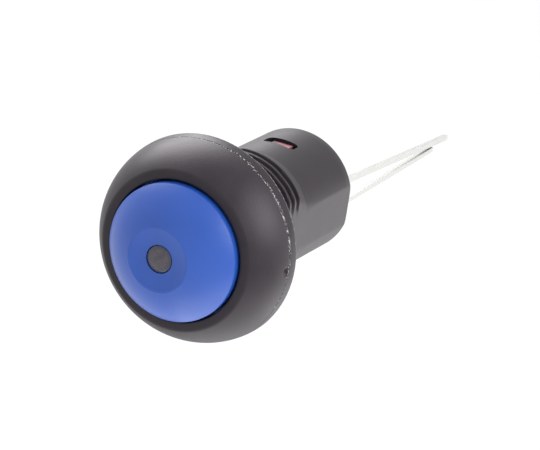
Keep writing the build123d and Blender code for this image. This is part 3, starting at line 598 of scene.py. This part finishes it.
def bushing_moulding():
    """Bushing: a closed profile carried round the axis. x is cut off at the flat, the thread's
    depth is then taken off along the radius, and grid lines follow the edges of the flat and the
    windows: cos phi = flat / r and |cos phi| = half width / r. Over the flat the recess's floor
    and the seat lie in one plane, so that only a film joins flange and barrel there."""
    edge_s = np.linspace(SEAM_S - SEAM_CHAMFER, RIM_CORNER_S, 7)
    edge_r = dome_radius(edge_s)
    flange = [
        (UPPER_BORE_R, 0.0, 0.0, 1.0),
        (HEAD_RECESS_R, 0.0, 0.0, 1.0),
        (HEAD_RECESS_R, SKIRT_RECESS_S, 0.05, 0.6),
        (SKIRT_RECESS_R, SKIRT_RECESS_S, 0.05, 0.6),
        (SKIRT_RECESS_R, SEAM_S, 0.05, 0.6),
        (edge_r[0] - SEAM_CHAMFER, SEAM_S, 0.0, 0.2),
        *[(r, s, 0.0, 1.0) for r, s in zip(edge_r, edge_s)],
        (RIM_R, 0.0, RIM_CORNER_R, 0.4),
        (GROOVE_OUTER_R, 0.0, 0.05, 1.0),
        (GROOVE_OUTER_R, GROOVE_DEPTH, 0.0, 0.5),
        (GROOVE_INNER_R, GROOVE_DEPTH, 0.0, 1.0),
        (GROOVE_INNER_R, 0.0, 0.05, 0.5),
        (THREAD_R, 0.0, 0.0, 1.0),
    ]
    window_step = (WINDOW_FRONT_S - WINDOW_REAR_S) / WINDOW_ROWS
    margin = WINDOW_MARGIN_ROWS * window_step
    outer = [
        (THREAD_R, -0.0001, 0.0, THREAD_PITCH / 18),
        (THREAD_R, THREAD_END_S + 0.38, 0.0, 0.1),
        (NECK_R, THREAD_END_S + 0.15, 0.15, 0.2),
        (BODY_R, NECK_END_S - 0.2, 2.0, 1.0),
        (BODY_R, WINDOW_FRONT_S + margin, 0.0, window_step),
        (BODY_R, WINDOW_FRONT_S, 0.0, window_step),
        (BODY_R, WINDOW_REAR_S, 0.0, window_step),
        (BODY_R, WINDOW_REAR_S - margin, 0.0, 1.0),
        (BODY_R, BODY_END_S, 0.22, 0.4),
        (LOWER_BORE_R, BODY_END_S, 0.18, 1.0),
        (LOWER_BORE_R, WINDOW_REAR_S - margin, 0.0, window_step),
        (LOWER_BORE_R, WINDOW_REAR_S, 0.0, window_step),
        (LOWER_BORE_R, WINDOW_FRONT_S, 0.0, window_step),
        (LOWER_BORE_R, WINDOW_FRONT_S + margin, 0.0, 1.0),
        (LOWER_BORE_R, BORE_STEP_S, 0.0, 1.0),
        (UPPER_BORE_R, BORE_STEP_S, 0.0, 1.0),
    ]
    profile = rounded_profile(flange + outer)
    radius, station = profile[:, :1], profile[:, 1:2]
    behind_seat = station < 0
    on_thread = (np.abs(radius - THREAD_R) < 0.001) & (station < 0)

    flat_angle = np.arccos(FLAT_X / np.clip(radius, FLAT_X + 0.03, THREAD_R))
    window_angle = np.arcsin(WINDOW_HALF_WIDTH / np.clip(radius, UPPER_BORE_R, THREAD_R))
    knots = np.concatenate([
        -flat_angle, flat_angle,
        math.pi / 2 - window_angle, math.pi / 2 + window_angle,
        math.pi * 1.5 - window_angle, math.pi * 1.5 + window_angle,
        TAU - flat_angle,
    ], axis=1)
    # columns over the flat, to the upper window, over it, to the lower one, over it, and back
    counts = [20, 44, 26, 80, 26, 44]
    phi = np.concatenate([
        knots[:, i:i + 1] + (knots[:, i + 1:i + 2] - knots[:, i:i + 1]) * eased(count)
        for i, count in enumerate(counts)], axis=1)
    depth = on_thread * thread_depth(station, phi)
    radius = np.broadcast_to(radius, phi.shape)
    station = np.broadcast_to(station, phi.shape)

    x, z = radius * np.cos(phi), radius * np.sin(phi)
    wall = ((station < WINDOW_FRONT_S + margin) & (station > WINDOW_REAR_S - margin)
            & (np.abs(x) < 3))
    new_x, new_station = round_window(x, station)
    x, station = np.where(wall, new_x, x), np.where(wall, new_station, station)
    z = np.where(wall, np.sign(z) * np.sqrt(radius**2 - x**2), z)
    softness = np.interp(-station, (-NECK_END_S - 0.6, -NECK_END_S + 2.4),
                         (FLAT_SOFTNESS_AHEAD, FLAT_SOFTNESS_BEHIND))
    x = np.where(behind_seat & (x > 0), soft_min(x, FLAT_X, softness), x)
    x, z = x - depth * np.cos(phi), z - depth * np.sin(phi)
    points = np.stack([x, -station, z], axis=-1)

    # the windows: their quads are left out of both walls and a ring of quads joins the two edges
    rows, columns = phi.shape
    quads = grid_quads(rows, columns)
    row_station, row_radius = profile[:, 1], profile[:, 0]
    in_window = (row_station <= WINDOW_FRONT_S + 1e-6) & (row_station >= WINDOW_REAR_S - 1e-6)
    outer_rows = np.flatnonzero(in_window & (row_radius > (LOWER_BORE_R + BODY_R) / 2))
    inner_rows = np.flatnonzero(in_window & (row_radius < (LOWER_BORE_R + BODY_R) / 2))[::-1]
    kept = np.ones((rows, columns), dtype=bool)
    walls = []
    for first in (sum(counts[:2]), sum(counts[:4])):
        span = np.arange(first, first + counts[2] + 1)
        kept[outer_rows[0]:outer_rows[-1], first:span[-1]] = False
        kept[inner_rows[-1]:inner_rows[0], first:span[-1]] = False
        loops = []
        for wall_rows in (outer_rows, inner_rows):
            index = wall_rows[:, None] * columns + span
            loops.append(np.concatenate([index[0, :-1], index[:-1, -1],
                                         index[-1, :0:-1], index[:0:-1, 0]]))
        outer_loop, inner_loop = loops
        walls.append(np.stack([outer_loop, inner_loop, np.roll(inner_loop, -1),
                               np.roll(outer_loop, -1)], axis=-1))
    all_quads = np.concatenate([quads[kept], *walls])
    return finish_piece("bushing_moulding", points, all_quads, BODY_FINISH,
                        "housing", "bushing")


# ---------------------------------------------------------------- button
def cap_station(radius, inset=0.0):
    """Station of the button's dome, or of the surface an inset below it, at a radius."""
    centre = CAP_EDGE_S - math.sqrt(CAP_DOME_R**2 - CAP_EDGE_R**2)
    return centre + np.sqrt((CAP_DOME_R - inset) ** 2 - radius**2)


def button_moulding():
    """Button: s(r) is a ball outside the dish, and inside it the dish's floor plus a power of the
    way out, (r - hole) / (dish - hole), which meets the ball at a softened rim. Under the roof
    ribs run from the lamp boss to the skirt, and keyways cut the flange."""
    rim = float(cap_station(DISH_R))
    dish_r = np.linspace(NOSE_HOLE_R, DISH_R - 0.12, 14)
    way_out = (dish_r - NOSE_HOLE_R) / (DISH_R - NOSE_HOLE_R)
    dish_s = DISH_FLOOR_S + (rim - DISH_FLOOR_S) * way_out**DISH_POWER
    blend_r = np.linspace(DISH_R - 0.08, DISH_R + 0.12, 6)
    blend_s = rim - 0.018 - 0.8 * (blend_r - DISH_R - 0.02) ** 2
    dome_r = np.linspace(DISH_R + 0.2, CAP_R, 44)
    front = [(r, s, 0.0, 1.0) for r, s in zip(
        np.concatenate([dish_r, blend_r, dome_r]),
        np.concatenate([dish_s, blend_s, cap_station(dome_r)]))]
    roof_r = np.linspace(CAP_BORE_R, BOSS_R, 9)
    roof = [(r, float(cap_station(r, CAP_WALL)), 0.0, 1.0) for r in roof_r]
    lamp_seat_s = BOSS_BOTTOM_S + LAMP_FLANGE_HEIGHT + LAMP_CLEARANCE
    corners = [
        *front[1:],
        (CAP_R, CAP_FLANGE_TOP_S, 0.0, 0.25),
        (CAP_FLANGE_R, CAP_FLANGE_TOP_S, 0.0, 1.0),
        (CAP_FLANGE_R, CAP_BOTTOM_S, 0.0, 1.0),
        (CAP_BORE_R, CAP_BOTTOM_S, 0.0, 1.0),
        *roof,
        (BOSS_R, BOSS_BOTTOM_S, 0.0, 1.0),
        (LAMP_FLANGE_R + LAMP_CLEARANCE, BOSS_BOTTOM_S, 0.0, 1.0),
        (LAMP_FLANGE_R + LAMP_CLEARANCE, lamp_seat_s, 0.0, 1.0),
        (LAMP_R + LAMP_CLEARANCE, lamp_seat_s, 0.0, 1.0),
        (LAMP_R + LAMP_CLEARANCE, LAMP_STEP_S + LAMP_CLEARANCE, 0.0, 1.0),
        (NOSE_HOLE_R, LAMP_STEP_S + LAMP_CLEARANCE, 0.0, 0.5),
        (NOSE_HOLE_R, DISH_FLOOR_S, 0.05, 1.0),
    ]
    profile = rounded_profile(corners)
    radius, station = profile[:, :1], profile[:, 1:2]
    on_flange = (radius > CAP_R + 0.05)
    rib_half_angle = np.arcsin(np.clip(RIB_HALF_WIDTH / radius, 0, 0.2))
    half_width = np.where(on_flange, KEYWAY_HALF_ANGLE, rib_half_angle)
    centres = FIRST_RIB_ANGLE + TAU / RIB_COUNT * np.arange(RIB_COUNT)
    # each rib has two columns that nearly touch at either side, as its side walls
    step = math.radians(0.02)
    edges = [centres + sign * (half_width + extra * step)
             for sign, extra in ((-1, 1), (-1, 0), (1, 0), (1, 1))]
    knots = np.stack(edges, axis=2).reshape(len(profile), -1)
    knots = np.concatenate([knots, knots[:, :1] + TAU], axis=1)
    counts = [1, 4, 1, 34] * RIB_COUNT
    phi = np.concatenate([
        knots[:, i:i + 1] + (knots[:, i + 1:i + 2] - knots[:, i:i + 1]) * np.arange(count) / count
        for i, count in enumerate(counts)], axis=1)
    from_rib = distance_round(phi, FIRST_RIB_ANGLE, RIB_COUNT)
    from_keyway = distance_round(phi, FIRST_KEY_ANGLE, KEY_COUNT)
    in_feature = half_width + step / 2
    under_roof = ((radius > BOSS_R - 0.01) & (radius < CAP_BORE_R + 0.01)
                  & (station < cap_station(radius) - 0.5))
    station = np.broadcast_to(station, phi.shape)
    on_rib = under_roof & (from_rib < in_feature)
    station = np.where(on_rib, np.minimum(station, RIB_BOTTOM_S), station)
    radius = np.broadcast_to(radius, phi.shape)
    radius = np.where(on_flange & (from_keyway < in_feature), KEYWAY_FLOOR_R, radius)
    return finish_piece("button_moulding", turned(radius, station, phi), grid_quads(*phi.shape),
                        BUTTON_FINISH, "button", "button_cap")


# ---------------------------------------------------------------- lamp
def lamp_casting():
    """Lamp body: flange, barrel and a narrower nose, whose front is a ball cap."""
    rise = LAMP_TIP_S - LAMP_SHOULDER_S
    ball_r = (LAMP_NOSE_R**2 + rise**2) / (2 * rise)
    nose_r = LAMP_NOSE_R * np.cos(np.linspace(0, math.pi / 2, 14)[:-1])
    nose_s = LAMP_TIP_S - ball_r + np.sqrt(ball_r**2 - nose_r**2)
    axis_r = 0.002
    corners = [
        (axis_r, LAMP_BASE_S, 0.0, 1.0),
        (LAMP_FLANGE_R, LAMP_BASE_S, 0.05, 0.5),
        (LAMP_FLANGE_R, LAMP_BASE_S + LAMP_FLANGE_HEIGHT, 0.08, 0.5),
        (LAMP_R, LAMP_BASE_S + LAMP_FLANGE_HEIGHT, 0.05, 0.5),
        (LAMP_R, LAMP_STEP_S, 0.08, 0.5),
        (LAMP_NOSE_R, LAMP_STEP_S, 0.0, 0.3),
        *[(r, s, 0.0, 1.0) for r, s in zip(nose_r, nose_s)],
        (axis_r, LAMP_TIP_S, 0.0, 1.0),
    ]
    profile = rounded_profile(corners)
    phi = np.arange(72) * TAU / 72
    radius, angle = np.meshgrid(profile[:, 0], phi, indexing="ij")
    height = np.repeat(profile[:, 1:2], len(phi), axis=1)
    return finish_piece("lamp_casting", turned(radius, height, angle), grid_quads(*radius.shape),
                        LAMP_FINISH, "button", "led_body")


bezel_moulding()
bushing_moulding()
button_moulding()
lamp_casting()


# ---------------------------------------------------------------- camera
# The camera looks at the switch from the front, to the right of its axis and a little above it.
# Its frame comes from where the seat's centre lies before the lens and how the axis leans there.
LENS_MM, SENSOR_MM = 200.0, 36.0
SEAT_BEFORE_LENS = Vector((-6.319, 1.118, 279.6)) * MM
AXIS_LEAN, AXIS_HEADING, FLAT_TURN = math.radians(31.8), math.radians(28.0), math.radians(-40.5)


def camera_axes():
    """Object axes as seen by the lens (x right, y down, z ahead), as the rows of a matrix."""
    front = Vector((-math.sin(AXIS_LEAN) * math.cos(AXIS_HEADING),
                    math.sin(AXIS_LEAN) * math.sin(AXIS_HEADING), -math.cos(AXIS_LEAN)))
    sight = -SEAT_BEFORE_LENS.normalized()
    towards = (sight - front * sight.dot(front)).normalized()
    across = front.cross(towards)
    flat_side = towards * math.cos(FLAT_TURN) + across * math.sin(FLAT_TURN)
    upward = across * math.cos(FLAT_TURN) - towards * math.sin(FLAT_TURN)
    return Matrix((flat_side, -front, upward))


def place_camera():
    """Camera whose rest view repeats the lean, heading and distance above."""
    to_object = camera_axes()
    right, down, ahead = (to_object.col[i].copy() for i in range(3))
    turn = Matrix((right, -down, -ahead)).transposed()
    where = -(to_object @ SEAT_BEFORE_LENS)
    data = bpy.data.cameras.new("camera")
    data.sensor_width = SENSOR_MM
    data.lens = LENS_MM
    data.clip_start, data.clip_end = 0.01, 20.0
    camera = bpy.data.objects.new("camera", data)
    camera.matrix_world = Matrix.Translation(where) @ turn.to_4x4()
    bpy.context.scene.collection.objects.link(camera)
    bpy.context.scene.camera = camera


place_camera()


# ---------------------------------------------------------------- light, floor and backdrop
def area_light(name, where, size, power, target=(0, 0, 0)):
    """Square soft light at a place in metres, turned to a target; the camera doesn't see it."""
    data = bpy.data.lights.new(name, "AREA")
    data.size = size
    data.energy = power
    light = bpy.data.objects.new(name, data)
    aim = Vector(target) - Vector(where)
    turn = aim.to_track_quat("-Z", "Y").to_matrix().to_4x4()
    light.matrix_world = Matrix.Translation(where) @ turn
    light.visible_camera = False
    bpy.context.scene.collection.objects.link(light)


area_light("softbox_above", (-0.31, 0.23, 0.33), 0.41, 3.5)
area_light("softbox_right", (0.42, 0.02, 0.26), 0.34, 2.1)
area_light("reflector_below", (0.045, 0.010, -0.110), 0.15, 0.085)
area_light("reflector_behind", (0.075, 0.090, -0.050), 0.12, 0.060)


def seen_white(tree, closure, white, share=1.0):
    """Mixes a closure with a share of plain white for camera, glossy and transmission rays."""
    path = add_node(tree, "LightPath")
    either = add_node(tree, "Math", {"operation": "MAXIMUM"})
    tree.links.new(path.outputs["Is Camera Ray"], either.inputs[0])
    tree.links.new(path.outputs["Is Glossy Ray"], either.inputs[1])
    any_ray = add_node(tree, "Math", {"operation": "MAXIMUM"})
    tree.links.new(either.outputs[0], any_ray.inputs[0])
    tree.links.new(path.outputs["Is Transmission Ray"], any_ray.inputs[1])
    mix = add_node(tree, "MixShader", Fac=level(tree, any_ray.outputs[0], 0.0, share))
    tree.links.new(closure, mix.inputs[1])
    tree.links.new(white, mix.inputs[2])
    return mix.outputs[0]


def white_room():
    """World: a plain pale room for diffuse light, and white where the camera or a gloss sees it."""
    world = bpy.data.worlds.new("white_room")
    bpy.context.scene.world = world
    world.use_nodes = True
    tree = world.node_tree
    room = tree.nodes["Background"]
    room.inputs["Color"].default_value = (1, 1, 1, 1)
    room.inputs["Strength"].default_value = 0.8
    white = add_node(tree, "Background", Color=(1, 1, 1, 1), Strength=1.0)
    output = tree.nodes["World Output"]
    tree.links.new(seen_white(tree, room.outputs[0], white.outputs[0]), output.inputs["Surface"])


def pale_floor():
    """Plain pale floor below the switch: matt and lit like a table, and nearly white to camera and
    gloss, with enough of the lit table left in it to carry the shadow."""
    material, tree, shader, place = new_material("floor_pale_matt")
    speckle = add_node(tree, "TexNoise", Vector=place, Scale=40.0, Detail=2.0)
    tree.links.new(ramp(tree, speckle.outputs["Fac"], [(0.3, "#F4F4F4"), (0.7, "#F8F8F8")]),
                   shader.inputs["Base Color"])
    shader.inputs["Roughness"].default_value = 0.9
    shader.inputs["Specular IOR Level"].default_value = 0.0
    white = add_node(tree, "Emission", Color=(1, 1, 1, 1), Strength=1.0)
    tree.links.new(seen_white(tree, shader.outputs[0], white.outputs[0], FLOOR_WHITE),
                   tree.nodes["Material Output"].inputs["Surface"])
    mesh = bpy.data.meshes.new("floor")
    corners = [(x * FLOOR_REACH, y * FLOOR_REACH, FLOOR_Z)
               for x, y in ((-1, -1), (1, -1), (1, 1), (-1, 1))]
    mesh.from_pydata(corners, [], [(0, 1, 2, 3)])
    mesh.materials.append(material)
    floor = bpy.data.objects.new("floor", mesh)
    bpy.context.scene.collection.objects.link(floor)


white_room()
pale_floor()

bpy.context.scene.view_settings.view_transform = "Standard"
